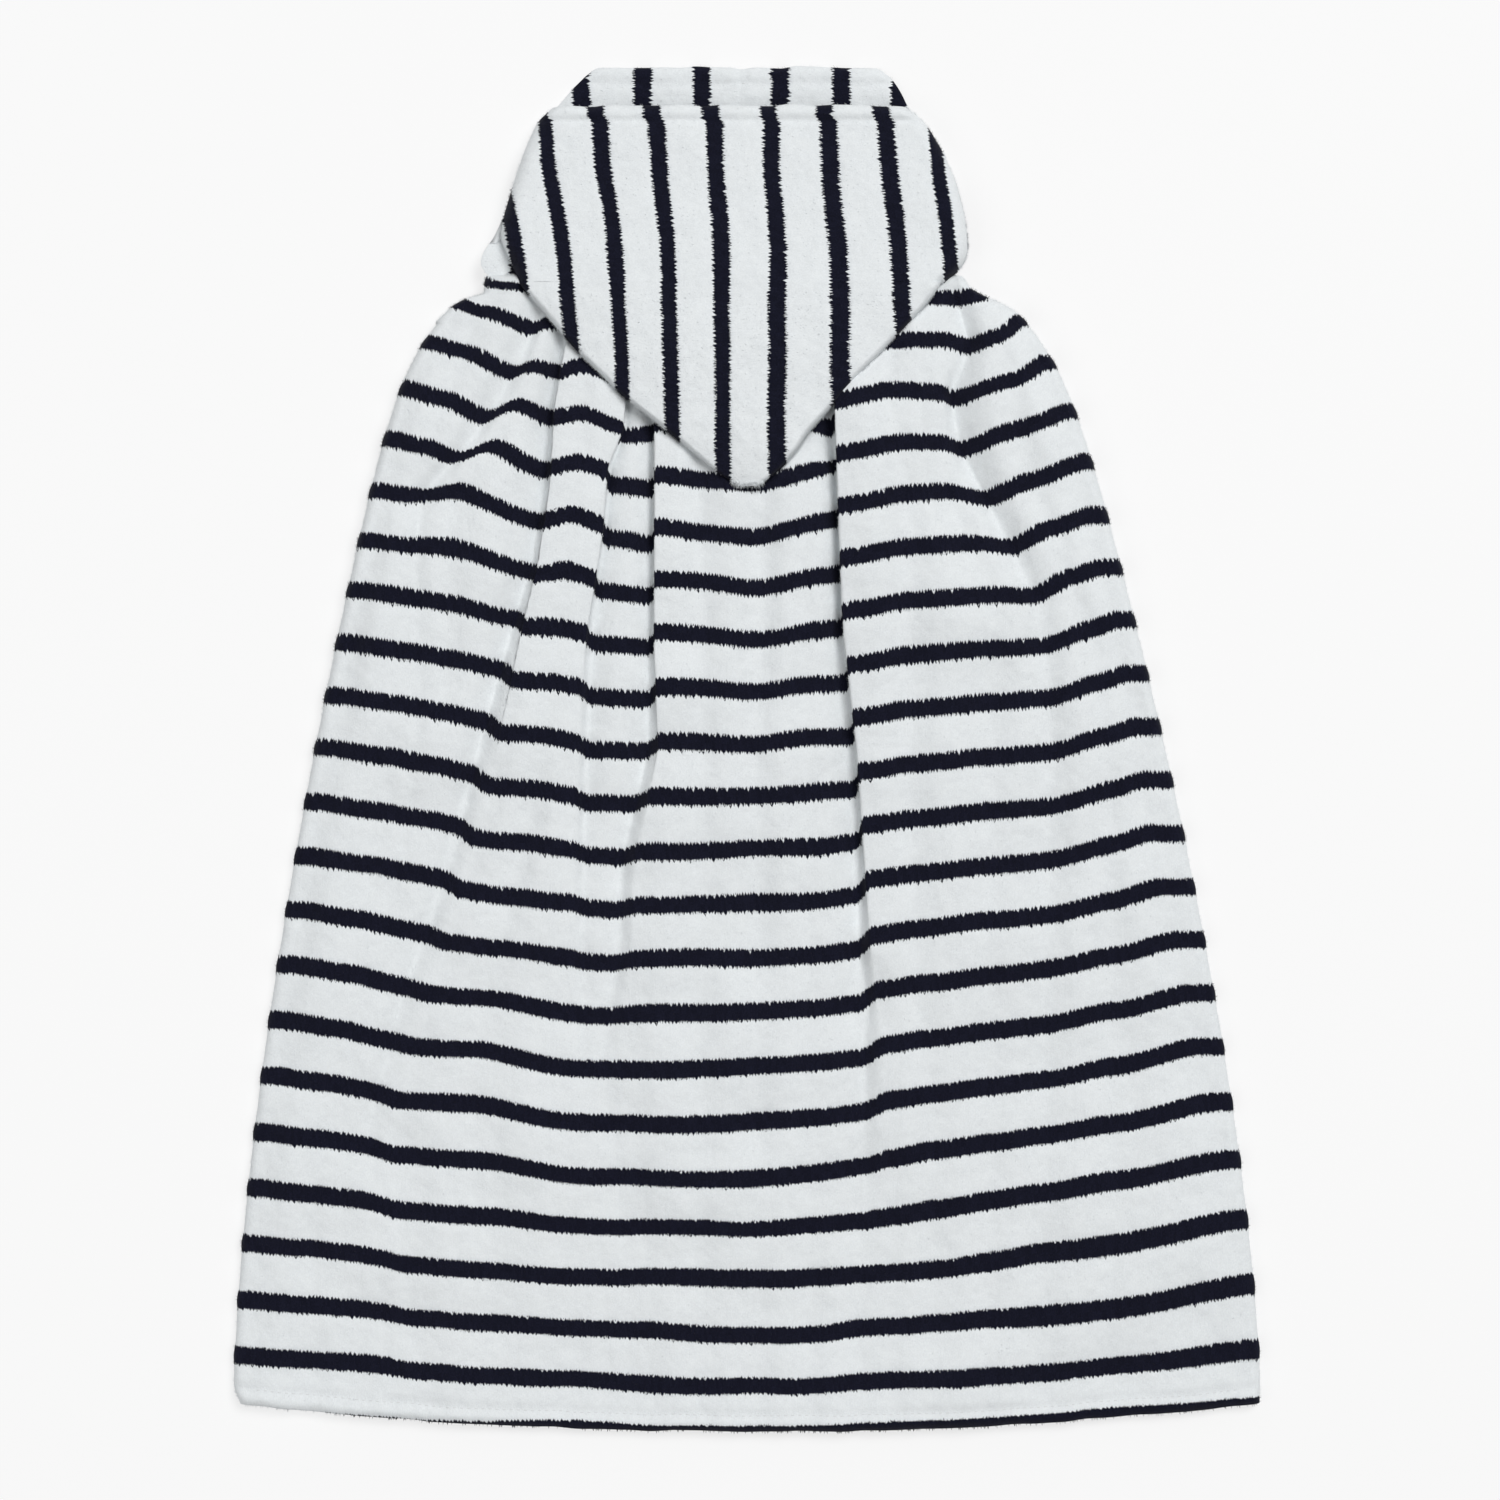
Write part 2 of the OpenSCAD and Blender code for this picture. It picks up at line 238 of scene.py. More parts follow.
# The gathered back follows these lines, from the left side to the right. Each point is
# (y, x, rise, height): rise is how far the line lifts the stripes, and height how far it stands
# out of the cloth. A crease is two lines close together, and its cloth turns steeply between them.
LINES = [
    # left side
    [(-350, -276, 15, 0), (-280, -268, 18, 0), (-230, -262, 21, 0), (-110, -245, 27, 0), (0, -228, 29, 0),
     (90, -207, 28, 0), (140, -197, 24, 0), (200, -184, 23, 0), (230, -165, 16, 0), (240, -152, 10, 0),
     (250, -142, -6, 0)],
    # middle of the left part
    [(-350, -232, 12.5, 0), (-250, -232, 17, 0.5), (-110, -208, 22, 1.5), (0, -188, 24, 1.5),
     (90, -178, 24, 1.5), (140, -180, 21, 1.5), (180, -164, 17, 1), (210, -152, 14, 1), (235, -141, 6.5, 1),
     (250, -131, -11.5, 1)],
    # a notch by the left shoulder
    [(-350, -212, 11.5, 0), (-250, -217, 15, 0), (-200, -216, 17.5, 0.5), (-140, -204, 18.5, 0.5),
     (-60, -185, 20, 1), (0, -176, 21.5, 1), (60, -176, 23.5, 1), (100, -177, 23.5, 0.5),
     (135, -174, 22.5, -0.5), (155, -155, 13, -1), (175, -140, 6, -1), (200, -125, 2, -1),
     (220, -115, -2, -1), (240, -107, -7, -1), (250, -111, -16, -1)],
    [(-350, -204, 11, 0), (-250, -209, 14, 0), (-200, -209, 16.5, 0.5), (-140, -195, 16, 0.5),
     (-60, -173, 18, 1), (0, -162, 19.5, 1), (60, -160, 20.5, 1), (100, -160, 22, 1), (140, -155, 24.5, 1),
     (160, -137, 20.5, 2), (185, -123, 13, 2), (205, -115, 5, 1.5), (230, -106, 0.5, 1.5),
     (240, -100, -5, 1.5)],
    # a long notch that drifts to the left
    [(-350, -190, 10, 0), (-250, -200, 12.5, 0), (-200, -202, 14.5, -1), (-140, -187, 14, -1.5),
     (-80, -166, 15, -2), (-30, -152, 15.5, -2), (60, -127, 14, -2.5), (100, -115, 9.5, -3),
     (140, -109, 6.5, -3.5), (180, -105, 6.5, -3), (200, -102, 3, -2.5), (240, -94, -2, -1.5)],
    [(-350, -174, 7.5, 0), (-250, -186, 8.5, 0), (-200, -189, 10.5, 1), (-140, -172, 11, 1),
     (-80, -153, 9.5, 1.5), (-30, -140, 8.5, 2), (60, -118, 8.5, 2), (100, -107, 7, 2), (140, -101, 8.5, 2),
     (180, -99, 5.5, 2), (200, -96, 1, 1.5), (240, -88, -1, 1)],
    # the pleat between them
    [(-350, -135, 5, 0), (-280, -135, 4.5, 0.5), (-230, -140, 6.5, 1), (-170, -148, 10, 1),
     (-80, -127, 6, 1.5), (-30, -114, 7, 2), (60, -101, 7.5, 2.5), (120, -93, 12, 3), (160, -88, 11, 3),
     (205, -87, 6, 2.5), (240, -80, 2, 2)],
    # a shallow valley
    [(-350, -90, 3.5, 0), (-280, -90, 1, 0), (-230, -92, -1, 0), (-170, -96, -0.5, 0.5),
     (-100, -94, 2.5, 1), (-30, -91, 3, 1), (60, -87, 5, 1.5), (120, -79, 5, 1.5), (150, -77, 6, 1.5),
     (170, -69, 0, 1.5), (205, -66, -4, 1)],
    [(-350, -78, 2.5, 0), (-280, -78, 1, 0), (-230, -82, -2, -0.5), (-170, -86, -1, -1),
     (-100, -88, 0, -1.5), (-30, -87, -0.5, -2), (60, -83, -0.5, -2), (120, -75, -1, -2.5),
     (150, -73, -1, -2.5), (170, -65, -4, -2.5), (205, -62, -7, -2)],
    [(-350, -62, 1, 0), (-280, -64, 1, -0.5), (-230, -70, -2.5, -1), (-170, -78, -1, -1),
     (-110, -69, -1, -2), (-60, -67, -1, -2), (0, -53, -1.5, -3), (60, -51, -3, -3), (110, -50, -4.5, -3.5),
     (170, -50, -2, -3.5)],
    # the step up out of it
    [(-350, -52, 0.5, 0), (-280, -54, 1.5, 0), (-230, -60, -2.5, 0), (-170, -68, -1, 0.5),
     (-110, -61, 1.5, 1), (-60, -59, 2, 2), (0, -46, 3.5, 2), (60, -47, 5.5, 2.5), (110, -46, 5.5, 3),
     (170, -46, 3.5, 3)],
    # the smooth middle
    [(-350, -25, 0, 0), (-310, -25, -1, 0), (-280, -25, 1.5, 0.5), (-230, -25, -3.5, 0),
     (-170, -25, -1, 0.5), (-110, -25, 2.5, 0.5), (-60, -25, 1.5, 0.5), (0, -25, 4, 1), (90, -25, 4.5, 1),
     (110, -25, 1.5, 0.5)],
    [(-350, 6, 0.5, 0), (-310, 6, -2, 0), (-280, 6, 0.5, 0.5), (-240, 6, -3, 0), (-170, 6, 1, 0),
     (-110, 6, 1.5, -0.5), (-60, 6, 4, -1), (0, 4, 2, -0.5), (60, 8, 0.5, -1), (110, 8, -1, -1)],
    [(-350, 33, 0, 0), (-310, 33, -2, 0), (-280, 33, 1, 0), (-230, 33, -0.5, 0), (-170, 33, 2.5, 0),
     (-110, 33, 3, 0.5), (-60, 33, 3.5, 0.5), (0, 32, 6, 0.5), (110, 32, 6, 0)],
    # a deep fold with a raised roll on its right
    [(-350, 60, 2, 0), (-280, 60, 2, -0.5), (-230, 62, 3, -1), (-170, 63, 5, -2), (-110, 60, 6, -3),
     (-60, 60, 7, -3.5), (0, 58, 6, -4.5), (60, 52, 7.5, -5), (110, 51, 9, -5), (150, 48, 10.5, -5),
     (165, 46, -1, -5.5), (200, 44, -1, -5)],
    [(-350, 78, 3, 0), (-280, 78, 3, 0.5), (-230, 77, 7, 1), (-170, 74, 12, 2), (-110, 67, 13, 3),
     (-60, 64, 15.5, 3.5), (0, 61, 16.5, 4), (60, 55, 16, 5), (110, 53, 16, 5), (200, 50, 14, 5)],
    [(-350, 100, 3, 0), (-310, 100, 5, 0), (-280, 100, 4.5, 0.5), (-230, 100, 11, 1), (-170, 96, 15, 1.5),
     (-110, 90, 17, 2), (0, 86, 20.5, 2.5), (60, 86, 22, 3), (140, 84, 22.5, 3.5), (165, 80, 21, 3.5),
     (195, 74, 20.5, 3), (220, 74, 18, 3)],
    # the right shoulder's notch
    [(-350, 130, 4.5, 0), (-280, 130, 9, 0), (-230, 130, 15, 0), (-110, 130, 21.5, 1), (0, 130, 24.5, 1),
     (80, 132, 25.5, 1.5), (110, 120, 25, 1.5), (135, 108, 24, 1), (160, 104, 22, 1), (190, 104, 19.5, 0.5),
     (220, 105, 20, 1), (240, 99, 13, 0.5)],
    [(-350, 155, 6, 0), (-310, 155, 7.5, 0), (-280, 155, 13, 0), (-230, 158, 19, 0), (-110, 160, 24, -0.5),
     (0, 162, 26.5, 0), (40, 161, 27, -0.5), (80, 154, 25, -1), (110, 140, 22.5, -2), (135, 127, 20, -2.5),
     (160, 114, 18, -3), (190, 109, 16.5, -3), (215, 119, 16, -2), (240, 112, 13, -2)],
    [(-350, 195, 9.5, 0), (-310, 195, 11, 0), (-280, 195, 16, 0.5), (-230, 195, 24.5, 0.5),
     (-140, 195, 30, 1), (0, 194, 35.5, 1.5), (60, 184, 35, 1.5), (85, 174, 35, 1.5), (115, 165, 33.5, 2),
     (140, 152, 29.5, 2), (175, 143, 28, 2), (200, 140, 25, 1.5), (220, 134, 21, 1.5), (240, 124, 15, 1)],
    # right side
    [(-350, 276, 14, 0), (-310, 270, 21, 0), (-255, 262, 32, 0), (-230, 258, 35, 0), (-170, 245, 39.5, 0),
     (-60, 218, 40, 0), (60, 200, 40.5, 0), (115, 184, 39.5, 0), (155, 180, 40, 0), (180, 172, 38.5, 0),
     (205, 160, 36.5, 0), (230, 147, 31, 0), (245, 128, 16, 0)],
]
PLACE, RISE, HEIGHT = 1, 2, 3            # what the columns of a line hold after its y


def along_line(y, points, column=1):
    """A value given at a few heights, as [(y, value, ...), ...]."""
    table = np.array(points, float)
    return np.interp(y, table[:, 0], table[:, column])


def between_lines(x, y, value, soft, pillow=0.0):
    """Runs a value of LINES, RISE or HEIGHT, smoothly from line to line.

    pillow is how far the cloth swells between two lines that lie well apart.
    """
    total = last_x = last = None
    for line in LINES:
        line_x = along_line(y, line, PLACE)
        level = along_line(y, line, value)
        if last is None:
            total = level
        else:
            line_x = np.maximum(line_x, last_x + 1.0)
            t = np.clip((x - last_x) / (line_x - last_x), 0, 1)
            total = total + (level - last) * (t * (1 - soft) + soft * t * t * (3 - 2 * t))
            total = total + pillow * np.clip((line_x - last_x - 8) / 30, 0, 1) * (4 * t * (1 - t)) ** 2
        last, last_x = level, line_x
    return total


def rounded(x, y, value, soft, reach, pillow=0.0):
    """between_lines, averaged a little to both sides so that its corners are round."""
    near = [between_lines(x + d, y, value, soft, pillow) for d in (-reach, 0, reach)]
    return 0.3 * near[0] + 0.4 * near[1] + 0.3 * near[2]


def stripe_rise(x, y):
    """How far the stripes of the back lie above level ones. They bend most softly in the smooth middle."""
    reach = 2.2 + 7.0 * smooth(-42, -20, x) * smooth(50, 30, x)
    return rounded(x, y, RISE, 0.5, reach) + 0.4 * lumps(x, y, 23, 71)


def body_phase(x, y):
    """Place among the stripes: a navy stripe lies at each whole number."""
    return (y - FIRST_STRIPE_Y - stripe_rise(x, y)) / STRIPE_PITCH


def hem_turn(x, y):
    """Extra cloth that the rounded hem takes up near its edge: less of it on the left."""
    above = y - hem_y(x)
    amount = 7.0 * smooth(-215, -60, x) + 1.5 * smooth(0, 150, x) - 3.5
    return amount * (1 - smooth(-1, 12, above))


def from_stripe(phase, pitch):
    """Distance in mm from the middle of the nearest navy stripe, upwards or to the right."""
    return ((phase + 0.5) % 1 - 0.5) * pitch


CREASE_WIDTH = 2.6
# Where folds of the plush press together: the number of a line of LINES, and (y, depth) along it.
CREASES = [
    (2, [(-60, 0), (60, 0.3), (140, 0.5), (240, 0.6)]),
    (4, [(-227, 0), (-100, 1.0), (60, 2.2), (140, 3.6), (240, 3.2)]),
    (8, [(-140, 0), (0, 1.0), (100, 2.2), (205, 2.8)]),
    (9, [(-200, 0), (-60, 1.3), (60, 2.4), (170, 2.8)]),
    (14, [(-240, 0.2), (-113, 1.6), (0, 3.0), (200, 3.4)]),
    (18, [(40, 0), (81, 0.4), (134, 2.2), (240, 2.6)]),
]


def creases(x, y):
    """Depth of the narrow creases between the folds."""
    total = 0.0
    for number, depths in CREASES:
        from_line = np.abs(x - along_line(y, LINES[number], PLACE))
        total = total + along_line(y, depths) * np.exp(-from_line / CREASE_WIDTH)
    return total


FRONTS_TOP = 4.55                        # height of the front panels' upper surface, under the back


def neck_lift(y):
    """How much higher the layers lie towards the neck."""
    return 3.0 * smooth(-100, 150, y)


def under_height(y):
    """Height of the back's lower surface."""
    return FRONTS_TOP + 0.75 + neck_lift(y)


def gathered_top(y):
    """Height of the back's surface, without its folds."""
    return 10.3 + 8.0 * smooth(-150, 170, y)


UNDER_HOOD_Z = 17.6                      # the back stays about this low under the hood's point


def back_height(x, y):
    """Height of the back's surface: its gathers, the swell of its hem and the lie of the pile."""
    side = np.minimum(x - left_x(y), right_x(y) - x)
    pillow = 1.8 + 2.2 * smooth(-250, 120, y)
    folds = 1.2 * rounded(x, y, HEIGHT, 0.9, 1.2, pillow) - creases(x, y)
    waves = 1.8 * lumps(x, y + 40, 60, 5) + 2.0 * lumps(x, y, 34, 6)
    above = y - hem_y(x)
    hem = 1.6 * bell(above - 4.0, 4.2) - 0.55 * bell(above - HEM_DEPTH, 2.4) + 0.5 * bell(above - 13.5, 3.5)
    stripes = 0.5 * bell(from_stripe(body_phase(x, y) - hem_turn(x, y) / STRIPE_PITCH, STRIPE_PITCH), 5.0)
    relief = pile_relief(x, y, 11) - stripes
    height = gathered_top(y) + smooth(0, 22, side) * (folds + waves) + hem + relief
    height = np.maximum(height, under_height(y) + 1.6 + 0.2 * relief)
    under_hood = smooth(-3, 12, point_inside(x, y))
    flat = UNDER_HOOD_Z + 0.3 * relief
    return height * (1 - under_hood) + np.minimum(height, flat) * under_hood


# ---------------------------------------------------------------- the hood's outline and stripes

def along_curve(y, points):
    """A value given at a few heights, as [(y, value), ...], with its corners rounded off."""
    steps = [along_line(y + d, points) for d in (-3, 0, 3)]
    return (steps[0] + 2 * steps[1] + steps[2]) / 4


def brim_left(y):
    """Left edge of the hood above the neck, on its upper layer."""
    return along_curve(y, [(248, -122), (254, -124), (261, -127), (272, -132), (285, -130), (304, -124.5),
                           (320, -119), (334, -113), (340, -108), (343, -103)])


def brim_right(y):
    """Right edge of the same."""
    return along_curve(y, [(248, 104), (252, 110), (257, 115), (264, 118), (272, 118), (285, 116.5),
                           (304, 111.5), (320, 104.5), (334, 96), (340, 90), (343, 84)])


def far_left(y):
    """Left edge of the far layer, which shows past the upper one."""
    return along_curve(y, [(248, -134), (258, -143), (266, -141), (272, -136), (285, -130), (304, -123),
                           (334, -109), (343, -103), (352, -96), (359, -90), (364, -84), (366, -78)])


def far_right(y):
    """Right edge of the same."""
    return along_curve(y, [(248, 102), (256, 112), (264, 116), (272, 116.5), (285, 115), (304, 110),
                           (334, 93), (343, 87), (352, 83), (359, 79), (364, 74), (366, 68)])


def point_sides(y):
    """Left and right edge of the hood's point at a height below the neck."""
    left = along_curve(y, [(140, -4), (142, -8), (148.5, -18), (167, -40), (187, -65.5), (212, -91),
                           (243, -117.5), (248, -122)])
    right = along_curve(y, [(140, 5), (144, 12), (149, 18), (160, 28), (166, 31), (181, 44), (193, 54),
                            (220, 80), (237, 96), (248, 104)])
    return left, right


def point_inside(x, y):
    """How far a place on the back lies inside the outline of the hood's point."""
    left, right = point_sides(np.minimum(y, NECK_Y))
    return np.where(y < TIP_Y, -50.0, np.minimum(x - left, right - x))


def hood_phase(x, y):
    """Place among the stripes of the hood's upper layer, which lean as they go down."""
    lean = 0.012 + 0.125 * np.abs((x - 12) / 120) ** 1.5
    sway = 2.2 * smooth(312, 272, y) - 1.5 * smooth(230, 150, y) + 0.7 * lumps(x, y, 26, 81)
    hem = 2.0 * smooth(334, 337, y)
    squeezed = x + 0.25 * np.maximum(0, x - 82) - 3.0 * smooth(-104, -118, x)
    return (squeezed - lean * (336 - y) - sway + hem - 13.0) / HOOD_PITCH


def far_phase(x, y):
    """Place among the stripes of the hood's far layer, either side of its seam."""
    sway = 0.8 * lumps(x, y, 18, 83)
    left = (x + 24.0 + sway) / 32.5
    right = (x - 18.2 + sway) / 32.0
    return np.where(x < -3, left, right + 1.0)


# ---------------------------------------------------------------- materials

class Nodes:
    """A short way to write a material's node tree."""

    def __init__(self, name):
        self.material = bpy.data.materials.new(name)
        self.material.use_nodes = True
        self.tree = self.material.node_tree
        self.tree.nodes.clear()

    def put(self, socket, value):
        if isinstance(value, bpy.types.NodeSocket):
            self.tree.links.new(value, socket)
        else:
            socket.default_value = value

    def add(self, kind, inputs=None, **settings):
        node = self.tree.nodes.new(kind)
        for key, value in settings.items():
            setattr(node, key, value)
        for key, value in (inputs or {}).items():
            self.put(node.inputs[key], value)
        return node

    def math(self, operation, a, b=0.0, c=0.0):
        node = self.add("ShaderNodeMath", {0: a, 1: b, 2: c}, operation=operation)
        return node.outputs[0]

    def attribute(self, name):
        return self.add("ShaderNodeAttribute", attribute_name=name).outputs["Fac"]

    def combine(self, x, y, z=0.0):
        return self.add("ShaderNodeCombineXYZ", {0: x, 1: y, 2: z}).outputs[0]

    def noise(self, vector, scale=1.0, detail=2.0, roughness=0.5):
        node = self.add("ShaderNodeTexNoise", {"Vector": vector, "Scale": scale, "Detail": detail,
                                               "Roughness": roughness})
        return node.outputs["Fac"]

    def cells(self, place):
        """Distance from the middle of the nearest cell along a row, and a random number for each cell."""
        node = self.add("ShaderNodeTexVoronoi", {"W": place, "Scale": 1.0}, voronoi_dimensions="1D")
        random = self.add("ShaderNodeSeparateColor", {"Color": node.outputs["Color"]})
        return node.outputs["Distance"], random.outputs[0]

    def step(self, value, low, high):
        node = self.add("ShaderNodeMapRange", {"Value": value, "From Min": low, "From Max": high},
                        interpolation_type="SMOOTHSTEP")
        return node.outputs["Result"]

    def multiply(self, a, b):
        return self.math("MULTIPLY", a, b)

    def mix(self, factor, a, b):
        node = self.add("ShaderNodeMix", {"Factor": factor}, data_type="RGBA")
        self.put(node.inputs[6], a)
        self.put(node.inputs[7], b)
        return node.outputs[2]

    def finish(self, shader):
        """Makes a shader node the surface, and gives the material."""
        out = self.add("ShaderNodeOutputMaterial")
        self.tree.links.new(shader.outputs[0], out.inputs["Surface"])
        return self.material


def plush(name, pitch, stripe_width, teeth_share):
    """White plush with navy stripes whose edges are broken up by the fibres.

    The stripes follow the mesh's phase attribute; along is the place along a stripe in mm.
    teeth_share is how strongly the fibres break up the edges; it grows towards the body's neck.
    """
    n = Nodes(name)
    phase, along = n.attribute("phase"), n.attribute("along")
    across = n.multiply(phase, pitch)
    turned = n.math("FRACT", n.math("ADD", phase, 0.5))
    from_middle = n.multiply(n.math("SUBTRACT", turned, 0.5), pitch)
    edge_number = n.math("FLOOR", n.multiply(phase, 2.0))
    fibre, random = n.cells(n.math("MULTIPLY_ADD", along, 0.72, n.multiply(edge_number, 17.3)))
    tuft = n.noise(n.combine(n.multiply(along, 0.3), n.multiply(across, 0.16)), 1.0, 2.0, 0.6)
    grain = n.noise(n.combine(along, n.multiply(across, 0.7)), 1.5, 3.0, 0.7)
    clump = n.noise(n.combine(along, n.multiply(across, 0.8)), 0.42, 2.0, 0.6)
    cloud = n.noise(n.combine(along, across), 0.11, 2.0, 0.5)

    half = stripe_width / 2
    pointed = n.math("SUBTRACT", 1.0, n.multiply(fibre, 1.8))
    reach = n.multiply(n.math("MULTIPLY_ADD", random, 0.9, 1.25), pointed)
    strength = n.math("MULTIPLY_ADD", n.step(phase, 3.0, 13.0), 0.35, teeth_share)
    teeth = n.multiply(n.math("SUBTRACT", reach, 0.8), strength)
    ragged = n.math("ADD", teeth, n.math("MULTIPLY_ADD", tuft, 2.0, -1.0))
    low_edge = n.step(n.math("SUBTRACT", n.math("ADD", from_middle, half), ragged), -0.25, 0.35)
    above = n.math("SUBTRACT", n.math("SUBTRACT", from_middle, half), ragged)
    high_edge = n.step(above, 0.35, -0.25)
    navy = n.multiply(low_edge, high_edge)

    white_tone = n.mix(n.step(grain, 0.3, 0.7), (0.785, 0.818, 0.835, 1), (0.89, 0.923, 0.938, 1))
    clumped = n.multiply(n.step(clump, 0.62, 0.35), 0.45)
    white_tone = n.mix(clumped, white_tone, (0.775, 0.805, 0.82, 1))
    clouded = n.multiply(n.step(cloud, 0.35, 0.65), 0.3)
    white_tone = n.mix(clouded, white_tone, (0.885, 0.915, 0.925, 1))
    tinted = n.multiply(n.step(n.math("ABSOLUTE", above), 2.6, 0.2), 0.22)
    white_tone = n.mix(tinted, white_tone, (0.60, 0.63, 0.68, 1))
    uneven = n.math("MULTIPLY_ADD", grain, 0.88, n.multiply(random, 0.12))
    navy_tone = n.mix(n.step(uneven, 0.3, 0.75), (0.0055, 0.006, 0.013, 1), (0.012, 0.013, 0.027, 1))
    colour = n.mix(navy, white_tone, navy_tone)

    clumps = n.math("MULTIPLY_ADD", grain, 0.6, n.multiply(clump, 0.7))
    relief = n.math("MULTIPLY_ADD", pointed, 0.05, clumps)
    bump = n.add("ShaderNodeBump", {"Strength": 0.45, "Distance": 0.001, "Height": relief})
    shader = n.add("ShaderNodeBsdfPrincipled", {
        "Base Color": colour, "Roughness": 0.95, "Specular IOR Level": 0.08,
        "Sheen Weight": 0.05, "Sheen Roughness": 0.5, "Normal": bump.outputs["Normal"]})
    return n.finish(shader)


def thread_material():
    """Glossy white sewing thread with its twist."""
    n = Nodes("sewing_thread")
    position = n.add("ShaderNodeTexCoord").outputs["Object"]
    twist = n.add("ShaderNodeTexWave", {"Vector": position, "Scale": 900.0, "Distortion": 1.5})
    colour = n.mix(twist.outputs["Fac"], (0.66, 0.68, 0.69, 1), (0.84, 0.86, 0.87, 1))
    bump = n.add("ShaderNodeBump", {"Strength": 0.4, "Distance": 0.0002, "Height": twist.outputs["Fac"]})
    shader = n.add("ShaderNodeBsdfPrincipled", {"Base Color": colour, "Roughness": 0.55,
                                                "Normal": bump.outputs["Normal"]})
    return n.finish(shader)


BODY_PLUSH = plush("body_plush", STRIPE_PITCH, STRIPE_WIDTH, 0.6)
HOOD_PLUSH = plush("hood_plush", HOOD_PITCH, HOOD_STRIPE_WIDTH, 0.85)
THREAD = thread_material()

# ---------------------------------------------------------------- loose fibres of the plush

EDGE_FIBRE = (0.8, 1.7)                  # shortest and longest fibre at an edge
LOOSE_FIBRE = (0.6, 1.3)                 # the same elsewhere
LOOSE_SHARE = 0.06                       # how many of the places elsewhere have a fibre
FIBRE_RADIUS = (0.2, 0.32)
FRAYED_STRETCH = 2.0                     # how much longer the fibres of a frayed end are
NOWHERE = -1000                          # a height below every part of the cloth


def pile(name, grid, phase, along, pitch, width, lean, count, seed, material, frayed_below=NOWHERE):
    """Fibres that stand out of a grid of cloth, as thin three-sided spikes.

    They lean over the edges of the navy stripes, stand out round the outline and in a frayed end, and
    lie here and there between. lean is the direction of the pile, and count how many places are tried.
    """
    rng = np.random.default_rng(seed)
    normals = np.cross(grid[:-1, 1:] - grid[:-1, :-1], grid[1:, :-1] - grid[:-1, :-1]).reshape(-1, 3)
    areas = np.linalg.norm(normals, axis=1)
    normals = normals / np.maximum(areas, 1e-9)[:, None]
    cell = rng.choice(len(areas), count, p=areas / areas.sum())
    row, column = np.divmod(cell, grid.shape[1] - 1)
    u, v = rng.random((2, count))

    def at(values):
        """The grid's values at the places tried."""
        a, b = (u[:, None], v[:, None]) if values.ndim == 3 else (u, v)
        low = values[row, column] * (1 - a) + values[row, column + 1] * a
        high = values[row + 1, column] * (1 - a) + values[row + 1, column + 1] * a
        return low * (1 - b) + high * b

    place, normal, lean = at(grid), normals[cell], np.array(lean, float)
    middle = np.floor(at(phase) + 0.5)
    distance = from_stripe(at(phase), pitch)
    forward = distance * (1 if lean.sum() > 0 else -1)
    half = width / 2
    at_edge = (np.abs(forward - half + 0.5) < 0.5) | (np.abs(forward + half + 0.5) < 0.5)
    frayed = place[:, 1] < frayed_below
    outline = (normal[:, 2] < 0.25) | frayed
    keep = at_edge | outline | (rng.random(count) < LOOSE_SHARE)
    length = np.where(at_edge | outline, rng.uniform(*EDGE_FIBRE, count), rng.uniform(*LOOSE_FIBRE, count))
    length = np.where(frayed, FRAYED_STRETCH * length, length)
    sideways = np.cross(lean, (0, 0, 1.0))
    direction = lean + 0.4 * normal + rng.uniform(-0.3, 0.3, count)[:, None] * sideways
    direction = np.where(outline[:, None], 0.5 * lean + normal, direction)
    loose = rng.uniform(-0.5, 0.5, (count, 3))
    direction = np.where(frayed[:, None], (0, -1.0, 0) + 0.35 * normal + loose, direction)
    direction = direction / np.linalg.norm(direction, axis=1)[:, None]
    side = np.cross(direction, normal)
    side = side / np.maximum(np.linalg.norm(side, axis=1), 1e-6)[:, None]
    thick = rng.uniform(*FIBRE_RADIUS, count)[:, None]
    base = place - 0.15 * normal
    spikes = np.stack([base + side * thick, base - side * thick, base + normal * thick,
                       base + direction * length[:, None]], 1)[keep]
    first = 4 * np.arange(len(spikes))[:, None, None]
    faces = np.array([[0, 2, 1], [0, 1, 3], [0, 3, 2], [1, 2, 3]]) + first
    shade = np.where(np.abs(distance) < half, middle, middle + 0.5)[keep]
    attributes = {"phase": np.repeat(shade, 4), "along": np.repeat(at(along)[keep], 4)}
    return mesh_object(name, spikes.reshape(-1, 3), [faces.reshape(-1, 3)], attributes, material)


# ---------------------------------------------------------------- the body cloth

def rolled(count, steps=ARC):
    """The turn of a rolled edge from its outermost line (0) to a quarter turn, then flat."""
    return np.concatenate([np.linspace(0, 1, steps + 1)[:-1], np.ones(count)]) * math.pi / 2


def body_rows(count=380):
    """Heights above the hem as shares of the way to the neck, with a rolled edge at both ends."""
    turn = np.concatenate([rolled(count), rolled(0)[::-1]])
    flat = np.concatenate([np.zeros(ARC), np.linspace(0, 1, count), np.ones(ARC)])
    return turn, flat


# Where a fold's edge leans over the cloth beside it: the number of a line of LINES, the way it
# leans, and (y, reach) along it.
LEANING = [
    (15, -1, [(-150, 0), (0, 3.6), (80, 5.0), (200, 5.0)]),
    (10, -1, [(-60, 0), (20, 3.0), (100, 4.5), (170, 4.5)]),
    (5, -1, [(-30, 0), (57, 4.0), (100, 5.5), (202, 5.0)]),
    (7, 1, [(20, 0), (100, 3.5), (170, 4.0)]),
]


